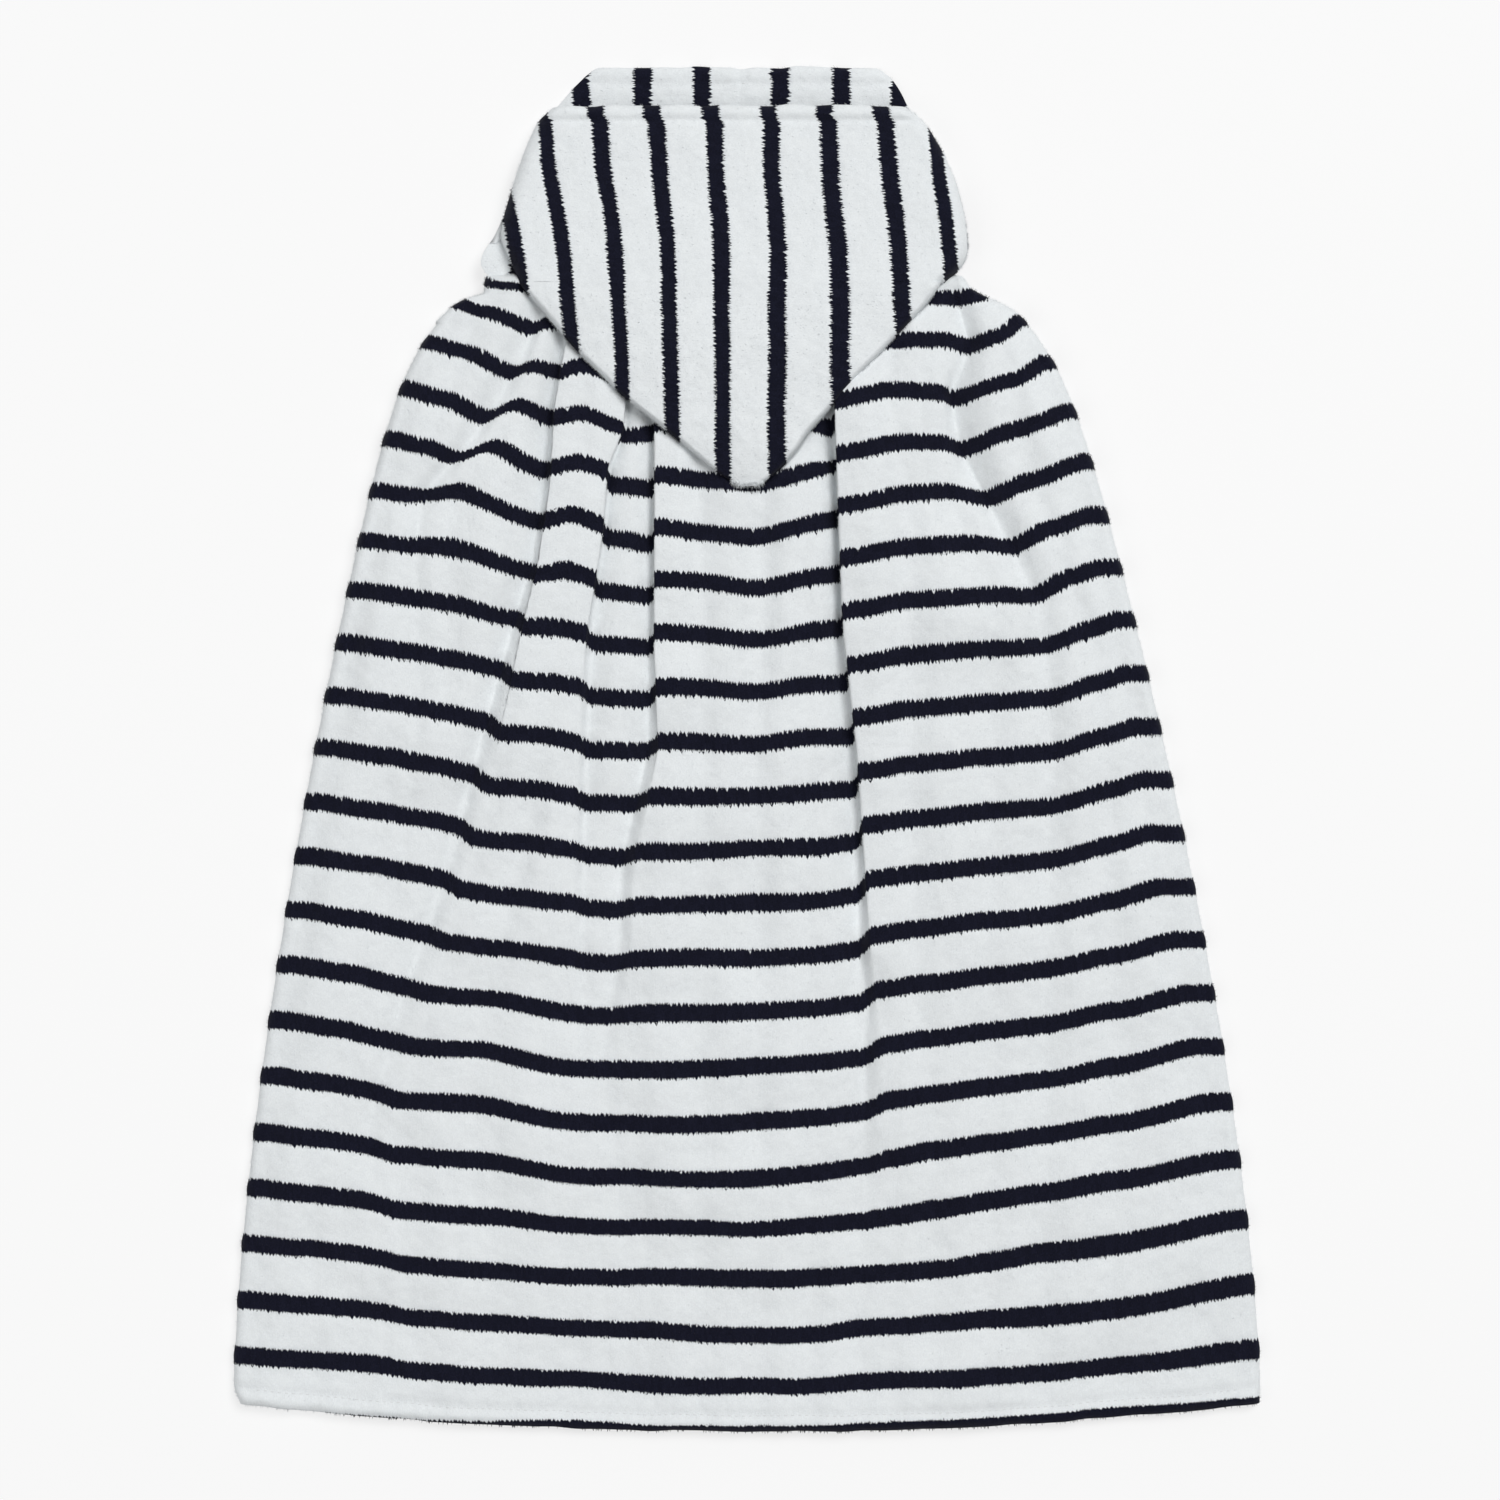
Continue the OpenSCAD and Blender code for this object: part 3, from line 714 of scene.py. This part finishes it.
def overhang(x, y):
    """How far the edges of the folds lean sideways."""
    total = 0.0
    for number, way, reaches in LEANING:
        inside = way * (along_line(y, LINES[number], PLACE) - x)
        lean = bell(inside - 1.0, np.where(inside < 1.0, 1.7, 7.0))
        total = total + way * along_line(y, reaches) * lean
    return total


SETTLING_ROUNDS = 4                      # x depends on y at the sides and y on x at the hem


def rolled_columns(count):
    """Places across a sheet as shares of the way, with a rolled edge at both sides."""
    turn = np.concatenate([rolled(0), np.full(count, math.pi / 2), rolled(0)[::-1]])
    flat = np.concatenate([np.zeros(ARC), np.linspace(0, 1, count), np.ones(ARC)])
    return turn, flat


def make_back():
    """The back of the body cloth, with its gathers and folds, and its fibres."""
    turn_y, flat_y = body_rows()
    turn_x, flat_x = rolled_columns(380)
    fy, fx = np.meshgrid(flat_y, flat_x, indexing="ij")
    ty, tx = np.meshgrid(turn_y, turn_x, indexing="ij")
    radius = FOLD_RADIUS
    x = (2 * fx - 1) * BODY_HALF
    top_y = NECK_Y + 5 - radius
    for _ in range(SETTLING_ROUNDS):
        bottom = hem_y(x) + radius
        y = bottom + fy * (top_y - bottom) + np.where(fy < 0.5, -1, 1) * radius * np.cos(ty)
        low, high = left_x(y) + radius, right_x(y) - radius
        x = low + fx * (high - low)
        side = np.where(fx < 0.5, -1, 1) * radius * np.cos(tx)
        x = x + side
    top = back_height(x, y)
    middle = gathered_top(y) / 2
    s = np.sin(tx)
    outer_z = middle + (top - middle) * s
    inner_z = middle + (under_height(y) - middle) * s
    centre = (outer_z + inner_z) / 2
    h = np.sin(ty)
    outer = drawn_in(x, y, outer_z, centre, h)
    inner = drawn_in(x - side * 0.8, y, inner_z, centre, h)
    phase = body_phase(x, y) - hem_turn(x, y) / STRIPE_PITCH
    near_side = 1 - smooth(0, 14, np.minimum(x - left_x(y), right_x(y) - x))
    bulge = 0.8 * near_side * bell(from_stripe(phase, STRIPE_PITCH), 4.5)
    outer[..., 0] += np.where(fx < 0.5, -1, 1) * bulge + overhang(x, y)
    back = shell("back_cloth", outer, inner, {"phase": phase, "along": x}, BODY_PLUSH)
    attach(back, "back")
    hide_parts("back_panel", "back_hem")
    fibres = pile("back_pile", outer, phase, x, STRIPE_PITCH, STRIPE_WIDTH, (0, 1, 0), 360000, 101,
                  BODY_PLUSH)
    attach(fibres, "back")
    return back, fibres


FRONT_COLUMNS = 150
FRONT_GAP = 1.0                          # from the middle of the body to each front edge
FRONT_EDGE_RADIUS = 2.0


def make_front(side, body):
    """One front panel, from the side fold round under the back to the middle."""
    turn_y, flat_y = body_rows()
    turn, flat_x = rolled_columns(FRONT_COLUMNS)
    turn_x = np.where(flat_x < 0.5, turn, math.pi / 2)
    turn_end = np.where(flat_x < 0.5, math.pi / 2, turn)
    fy, fx = np.meshgrid(flat_y, flat_x, indexing="ij")
    ty, tx = np.meshgrid(turn_y, turn_x, indexing="ij")
    te = np.broadcast_to(turn_end, fy.shape)
    radius = FOLD_RADIUS
    outline = left_x if side < 0 else right_x
    x = side * BODY_HALF * (1 - fx)
    top_y = NECK_Y - 8 - radius
    end = side * (FRONT_GAP + FRONT_EDGE_RADIUS)
    for _ in range(SETTLING_ROUNDS):
        bottom = hem_y(x) + 1.5 + radius
        y = bottom + fy * (top_y - bottom) + np.where(fy < 0.5, -1, 1) * radius * np.cos(ty)
        start = outline(y) - side * radius
        roll = side * radius * np.cos(tx)
        tail = -side * FRONT_EDGE_RADIUS * np.cos(te)
        x = start + fx * (end - start) + roll + tail
    middle = gathered_top(y) / 2
    ripple = 0.35 + 0.3 * pile_relief(x, y, 31 + side)
    ceiling = FRONTS_TOP + 0.35 + neck_lift(y)
    hem = 0.5 * bell(y - hem_y(x) - HEM_DEPTH - 1.5, 1.5)
    edge = 0.5 * bell(np.abs(x) - HEM_DEPTH - 1.0, 1.5)
    s = np.sin(tx)
    outer_z = middle + (ripple + hem + edge - middle) * s
    inner_z = middle + (ceiling - 0.3 * (1 + pile_relief(x, y, 41 + side)) - hem - edge - middle) * s
    centre = (outer_z + inner_z) / 2
    h = np.sin(ty) * np.sin(te)
    outer = drawn_in(x, y, outer_z, centre, h)
    inner = drawn_in(x - roll * 0.8, y, inner_z, centre, h)
    fold = outline(y)
    away = smooth(0, 220, np.abs(fold - x))
    rise = stripe_rise(fold, y) * (1 - away) + (6.0 + 0.012 * (y - HEM_LOW)) * away
    phase = (y - FIRST_STRIPE_Y - rise) / STRIPE_PITCH - hem_turn(x, y) / STRIPE_PITCH
    along = x
    if side > 0:
        outer, inner, phase, along = (grid[:, ::-1] for grid in (outer, inner, phase, along))
    panel = shell(body + "_cloth", inner, outer, {"phase": phase, "along": along}, BODY_PLUSH)
    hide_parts(body + "_panel", body + "_bottom_hem", body + "_edge_hem")
    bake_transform(panel)
    return panel


# ---------------------------------------------------------------- the hood

def brim_top(y):
    """Height of the hood's upper layer, from the neck to the face opening."""
    t = np.clip((y - NECK_Y) / (MOUTH_Y - NECK_Y), 0, 1.3)
    return BRIM_Z - 9.5 * t


def hood_relief(x, y, seed):
    """The uneven surface of the hood: its pile, its swells and its slightly sunk stripes."""
    stripes = 0.5 * bell(from_stripe(hood_phase(x, y), HOOD_PITCH), 5.0)
    swells = 1.2 * lumps(x, y, 30, seed + 4) + 0.8 * lumps(x, y, 55, seed + 5)
    return pile_relief(x, y, seed) + swells - stripes


def add_fibres(name, grid, phase, along, count, seed, frayed_below=NOWHERE):
    """The loose fibres of one layer of the hood, which lean to the left."""
    fibres = pile(name, grid, phase, along, HOOD_PITCH, HOOD_STRIPE_WIDTH, (-1, 0, 0), count, seed,
                  HOOD_PLUSH, frayed_below)
    return fibres


def hood_grid(low, high, left_edge, right_edge, rows, columns):
    """Places of a hood layer between two heights, with rolled sides and a rolled far edge."""
    turn_y = np.concatenate([np.full(rows, math.pi / 2), rolled(0)[::-1]])
    flat_y = np.concatenate([np.linspace(0, 1, rows), np.ones(ARC)])
    turn_x, flat_x = rolled_columns(columns)
    fy, fx = np.meshgrid(flat_y, flat_x, indexing="ij")
    ty, tx = np.meshgrid(turn_y, turn_x, indexing="ij")
    y = low + fy * (high - OPENING_RADIUS - low) + OPENING_RADIUS * np.cos(ty)
    start, end = left_edge(y) + SIDE_RADIUS, right_edge(y) - SIDE_RADIUS
    roll = np.where(fx < 0.5, -1, 1) * SIDE_RADIUS * np.cos(tx)
    return start + fx * (end - start) + roll, y, roll, np.sin(tx), np.sin(ty)


BRIM_STITCH_Y = MOUTH_Y - HEM_DEPTH + 1.0
FAR_STITCH_Y = FAR_Y - HEM_DEPTH
BRIM_SEED = 51                           # the point goes on with the brim's relief
FAR_SEED = 61


def make_brim():
    """The hood's upper layer above the neck, and its fibres."""
    x, y, roll, s, h = hood_grid(NECK_Y, MOUTH_Y, brim_left, brim_right, 90, 200)
    hem = 1.5 * bell(y - MOUTH_Y + 4.0, 3.5) - 0.9 * bell(y - BRIM_STITCH_Y, 1.8)
    top = brim_top(y) + hem + hood_relief(x, y, BRIM_SEED)
    middle = brim_top(y) / 2
    outer_z = middle + (top - middle) * s
    inner_z = middle + (brim_top(y) - CLOTH - middle) * s
    centre = (outer_z + inner_z) / 2
    y = y + 1.2 * lumps(x, y, 12, 53) * smooth(MOUTH_Y - 8, MOUTH_Y, y)
    outer = drawn_in(x, y, outer_z, centre, h)
    inner = drawn_in(x - roll * 0.5, y, inner_z, centre, h)
    phase = hood_phase(x, y)
    brim = shell("hood_brim_cloth", outer, inner, {"phase": phase, "along": y}, HOOD_PLUSH)
    sharpen_ring(brim, x.shape[1])
    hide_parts("hood_brim", "hood_brim_hem", "hood_side_left", "hood_side_right")
    bare = 5                              # rows beside the fold line, where fibres would be pinched
    fibres = add_fibres("hood_brim_pile", outer[bare:], phase[bare:], y[bare:], 25000, 102)
    for piece in (brim, fibres):
        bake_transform(piece)
    return brim, fibres


def make_far():
    """The hood's far layer, which lies on the table and shows past the upper one, and its fibres."""
    x, y, roll, s, h = hood_grid(NECK_Y + 3, FAR_Y, far_left, far_right, 110, 200)
    seam = x - CHIN_SEAM_X
    beyond = smooth(MOUTH_Y - 12, MOUTH_Y + 6, y)
    dimple = 0.9 * bell(seam, 3.5) * smooth(FAR_Y - 30, FAR_Y, y)
    side_height = brim_top(y) / 2 * (1 - beyond) + 2.4 * beyond
    top = CLOTH + 0.7 * bell(y - FAR_Y + 4.0, 4.0) - 0.4 * bell(y - FAR_STITCH_Y, 2.2) - dimple
    top = top + 9.0 * smooth(-116, -126, x) * smooth(290, 266, y)
    top = top + (0.3 + 0.5 * beyond) * hood_relief(x, y, FAR_SEED)
    lower_z = side_height * (1 - s)
    upper_z = side_height + (top - side_height) * s
    centre = (lower_z + upper_z) / 2
    y = y - 1.0 * bell(seam, 4.0) * smooth(FAR_Y - 12, FAR_Y, y) + 0.8 * lumps(x, y, 9, 63) * beyond
    upper = drawn_in(x, y, upper_z, centre, h)
    lower = drawn_in(x - roll * 0.5, y, lower_z, centre, h)
    phase = far_phase(x, y)
    far = shell("hood_far_cloth", upper, lower, {"phase": phase, "along": y}, HOOD_PLUSH)
    fibres = add_fibres("hood_far_pile", upper, phase, y, 22000, 103)
    for piece in (far, fibres):
        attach(piece, "back")
    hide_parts("hood_far_left", "hood_far_right", "hood_far_hem")
    return far, fibres


TIP_TAPER = 26.0                         # the last of the point, where it grows thin
FRAYED_END = 2.5                         # the part of it with long loose fibres


def make_point():
    """The hood's point: a flattened pocket whose edges are folds of the cloth."""
    rows, around = 120, 420
    t = np.linspace(0, 1, rows)
    y_row = NECK_Y - (NECK_Y - TIP_Y) * t
    left, right = point_sides(y_row)
    centre_x, half = (left + right) / 2, (right - left) / 2
    angle = np.linspace(0, 2 * math.pi, around, endpoint=False)
    cos, sin = np.cos(angle), np.sin(angle)
    flat = 3.6 / np.maximum(half, 4.5)[:, None]
    x = centre_x[:, None] + half[:, None] * cos
    edge = np.clip((1 - np.abs(cos)) / flat, 0, 1)
    bulge = np.sqrt(1 - (1 - edge) ** 2) * np.sign(sin)
    y = np.broadcast_to(y_row[:, None], x.shape)
    middle, reach = (POINT_Z + UNDER_Z) / 2, (POINT_Z - UNDER_Z) / 2
    crown = 1.2 * np.clip(1 - np.abs(cos), 0, 1) * smooth(0, 0.25, t)[:, None]
    from_tip = np.clip((y_row - TIP_Y) / TIP_TAPER, 0, 1)[:, None]
    end = 0.12 + 0.88 * np.sin(from_tip * math.pi / 2)
    relief = np.where(sin > 0, hood_relief(x, y, BRIM_SEED) * np.abs(bulge), 0)
    sag = 1.6 * np.abs(cos) ** 24 * smooth(0, 0.12, t)[:, None]
    z = middle + reach * bulge * end + np.where(sin > 0, crown * end, 0) + relief - sag
    phase = hood_phase(x, y)
    grid = np.stack([x, y, z], -1)
    cap = rows * around
    caps = [[centre_x[0], y_row[0], middle], [centre_x[-1], y_row[-1] - 1.0, middle]]
    points = np.concatenate([grid.reshape(-1, 3), caps])
    ring = np.arange(around)
    after = np.roll(ring, -1)
    last = (rows - 1) * around
    neck = np.stack([ring, after, np.full(around, cap)], -1)
    tip = np.stack([after + last, ring + last, np.full(around, cap + 1)], -1)
    faces = [grid_quads(rows, around, wrap=True)[:, ::-1], np.concatenate([neck, tip])]
    attributes = {"phase": np.append(phase.ravel(), [0.3, 0.3]), "along": np.append(y.ravel(), [0, 0])}
    point = mesh_object("hood_point_cloth", points, faces, attributes, HOOD_PLUSH)
    sharpen_ring(point, around)
    bare = 6                              # rows beside the fold line, where fibres would be pinched
    fibres = add_fibres("hood_point_pile", grid[bare:], phase[bare:], y[bare:], 60000, 104,
                        TIP_Y + FRAYED_END)
    for piece in (point, fibres):
        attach(piece, "point")
    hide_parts("hood_point_top", "hood_under_left", "hood_under_right")
    return point, fibres


NECK_LEFT = -121
NECK_WIDTH = 224


def make_neck():
    """The gathered cloth inside the neck seam."""
    rows, around = 260, 20
    t = np.linspace(0, 1, rows)
    x_row = NECK_LEFT + t * NECK_WIDTH
    angle = np.linspace(0, 2 * math.pi, around, endpoint=False)
    swell = np.sqrt(np.clip(1 - (2 * t - 1) ** 12, 0.01, 1))
    wave = 1 + 0.16 * np.sin(x_row * 0.9 + np.sin(x_row * 0.17) * 2)
    y = NECK_Y - 2 + 4.6 * (swell * wave)[:, None] * np.cos(angle)
    z = 11.3 + 10.6 * (swell * wave ** 0.3)[:, None] * np.sin(angle)
    x = np.broadcast_to(x_row[:, None], y.shape)
    points = np.stack([x, y, np.maximum(z, 0.3)], -1).reshape(-1, 3)
    phase = np.full(x.shape, 0.45) + 0.1 * np.sin(x * 0.8)
    faces = [grid_quads(rows, around, wrap=True)[:, ::-1]]
    neck = mesh_object("neck_gathers", points, faces, {"phase": phase, "along": x}, BODY_PLUSH)
    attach(neck, "back")
    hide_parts("neck_seam_front", "neck_seam_back")


# ---------------------------------------------------------------- the stitching

def stitches(name, path, node, body, length=3.0, pitch=3.8, radius=0.34):
    """A row of stitches along a path of points in mm: each is a short thread that dips at both ends."""
    path = np.asarray(path, float)
    steps = np.linalg.norm(np.diff(path, axis=0), axis=1)
    distance = np.concatenate([[0], np.cumsum(steps)])
    points, quads, caps = [], [], []
    sides, rings = 6, 5
    ring = np.arange(sides)
    for start in np.arange(0, distance[-1] - length, pitch):
        at = start + length * np.linspace(0, 1, rings)
        line = np.stack([np.interp(at, distance, path[:, i]) for i in range(3)], -1)
        line[:, 2] -= 0.5 * (2 * np.linspace(0, 1, rings) - 1) ** 4
        forward = line[-1] - line[0]
        forward = forward / np.linalg.norm(forward)
        across = np.cross(forward, [0, 0, 1.0])
        across = across / max(np.linalg.norm(across), 1e-6)
        up = np.cross(across, forward)
        size = radius * np.array([0.55, 0.95, 1.0, 0.95, 0.55])
        base = len(points)
        for centre, r in zip(line, size):
            for a in np.linspace(0, 2 * math.pi, sides, endpoint=False):
                points.append(centre + r * (math.cos(a) * across + math.sin(a) * up))
        quads.append(base + grid_quads(rings, sides, wrap=True))
        caps += [base + ring[::-1], base + (rings - 1) * sides + ring]
    row = mesh_object(name, points, [np.concatenate(quads), np.array(caps)], {}, THREAD)
    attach(row, body)
    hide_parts(node)


def line_points(x, y, z):
    """A path of points from places that may be single numbers."""
    return np.stack(np.broadcast_arrays(x, y, z), -1)


def make_stitching():
    """Every row of stitches that the hems and seams have."""
    x = np.linspace(left_x(CORNER_Y) + 9, right_x(CORNER_Y) - 9, 400)
    y = hem_y(x) + HEM_DEPTH
    z = back_height(x, y) - 0.1
    stitches("back_hem_stitches", line_points(x, y, z), "back_hem_stitching", "back")

    for side, body in ((-1, "front_left"), (1, "front_right")):
        x = side * np.linspace(BODY_HALF - 16, HEM_DEPTH + 2, 200)
        y = hem_y(x) + HEM_DEPTH + 1.5
        up = np.linspace(y[-1] + 4, NECK_Y - 16, 300)
        x = np.concatenate([x, np.full(300, side * (HEM_DEPTH + 1))])
        y = np.concatenate([y, up])
        z = FRONTS_TOP + neck_lift(y)
        stitches(body + "_stitches", line_points(x, y, z), body + "_stitching", body)

    y = BRIM_STITCH_Y
    x = np.linspace(brim_left(y) + SIDE_RADIUS, brim_right(y) - SIDE_RADIUS, 200)
    z = brim_top(y) + hood_relief(x, y, BRIM_SEED) - 1.2
    stitches("hood_brim_stitches", line_points(x, y, z), "hood_brim_stitching", "brim")

    y = FAR_STITCH_Y
    x = np.linspace(far_left(y) + SIDE_RADIUS, far_right(y) - SIDE_RADIUS, 200)
    z = CLOTH + 0.8 * hood_relief(x, y, FAR_SEED) - 0.95
    stitches("hood_far_stitches", line_points(x, y, z), "hood_far_stitching", "back")

    y = np.linspace(NECK_Y + 8, FAR_Y - 4, 100)
    z = CLOTH + 0.3 * hood_relief(CHIN_SEAM_X, y, FAR_SEED) - 0.9 * smooth(FAR_Y - 30, FAR_Y, y) - 0.1
    stitches("hood_chin_stitches", line_points(CHIN_SEAM_X, y, z), "hood_chin_seam", "back")

    y = np.linspace(NECK_Y - 12, TIP_Y + 8, 100)
    path = line_points(BACK_SEAM_X, y, UNDER_Z - 0.05)
    stitches("hood_back_seam_stitches", path, "hood_back_seam", "point")


# ---------------------------------------------------------------- the studio

LIGHTS = [                               # name, place, size and power
    ("key", (2.0, 2.36, 5.45), 2.7, 257),
    ("fill", (-1.8, -0.8, 2.6), 1.6, 18),
]
LENS, SENSOR = 100, 36                   # mm
VIEW_WIDTH = 0.8025                      # how much of the table the camera sees, at VIEW_HEIGHT
VIEW_HEIGHT = 0.012


def make_floor():
    """A plain pale floor, a little brighter than the light alone would make it."""
    bpy.ops.mesh.primitive_plane_add(size=8)
    floor = bpy.context.object
    floor.name = "floor"
    n = Nodes("pale_floor")
    diffuse = n.add("ShaderNodeBsdfDiffuse", {"Color": (0.9, 0.9, 0.9, 1)})
    glow = n.add("ShaderNodeEmission", {"Color": (1, 1, 1, 1), "Strength": 1.0})
    mixed = n.add("ShaderNodeMixShader", {"Fac": 0.7})
    n.tree.links.new(diffuse.outputs[0], mixed.inputs[1])
    n.tree.links.new(glow.outputs[0], mixed.inputs[2])
    floor.data.materials.append(n.finish(mixed))


def make_light(name, place, size, power):
    """A square lamp that faces the middle of the towel."""
    lamp = bpy.data.lights.new(name, "AREA")
    lamp.energy, lamp.size = power, size
    light = collection_link(bpy.data.objects.new(name, lamp))
    light.location = place
    light.rotation_mode = "QUATERNION"
    light.rotation_quaternion = (-Vector(place)).to_track_quat("-Z", "Y")


def make_studio():
    """Floor, world, lights and a camera that looks straight down."""
    make_floor()
    world = bpy.data.worlds.new("studio")
    world.use_nodes = True
    world.node_tree.nodes["Background"].inputs["Color"].default_value = (1, 1, 1, 1)
    world.node_tree.nodes["Background"].inputs["Strength"].default_value = 0.24
    bpy.context.scene.world = world
    for light in LIGHTS:
        make_light(*light)
    camera_data = bpy.data.cameras.new("camera")
    camera_data.lens, camera_data.sensor_width = LENS, SENSOR
    camera = collection_link(bpy.data.objects.new("camera", camera_data))
    camera.location = (0.0016, -0.0008, VIEW_WIDTH * LENS / SENSOR + VIEW_HEIGHT)
    bpy.context.scene.camera = camera
    bpy.context.scene.view_settings.view_transform = "Standard"


back, back_pile = make_back()
front_left = make_front(-1, "front_left")
front_right = make_front(1, "front_right")
brim, brim_pile = make_brim()
far, far_pile = make_far()
point, point_pile = make_point()
make_neck()
make_stitching()

make_studio()
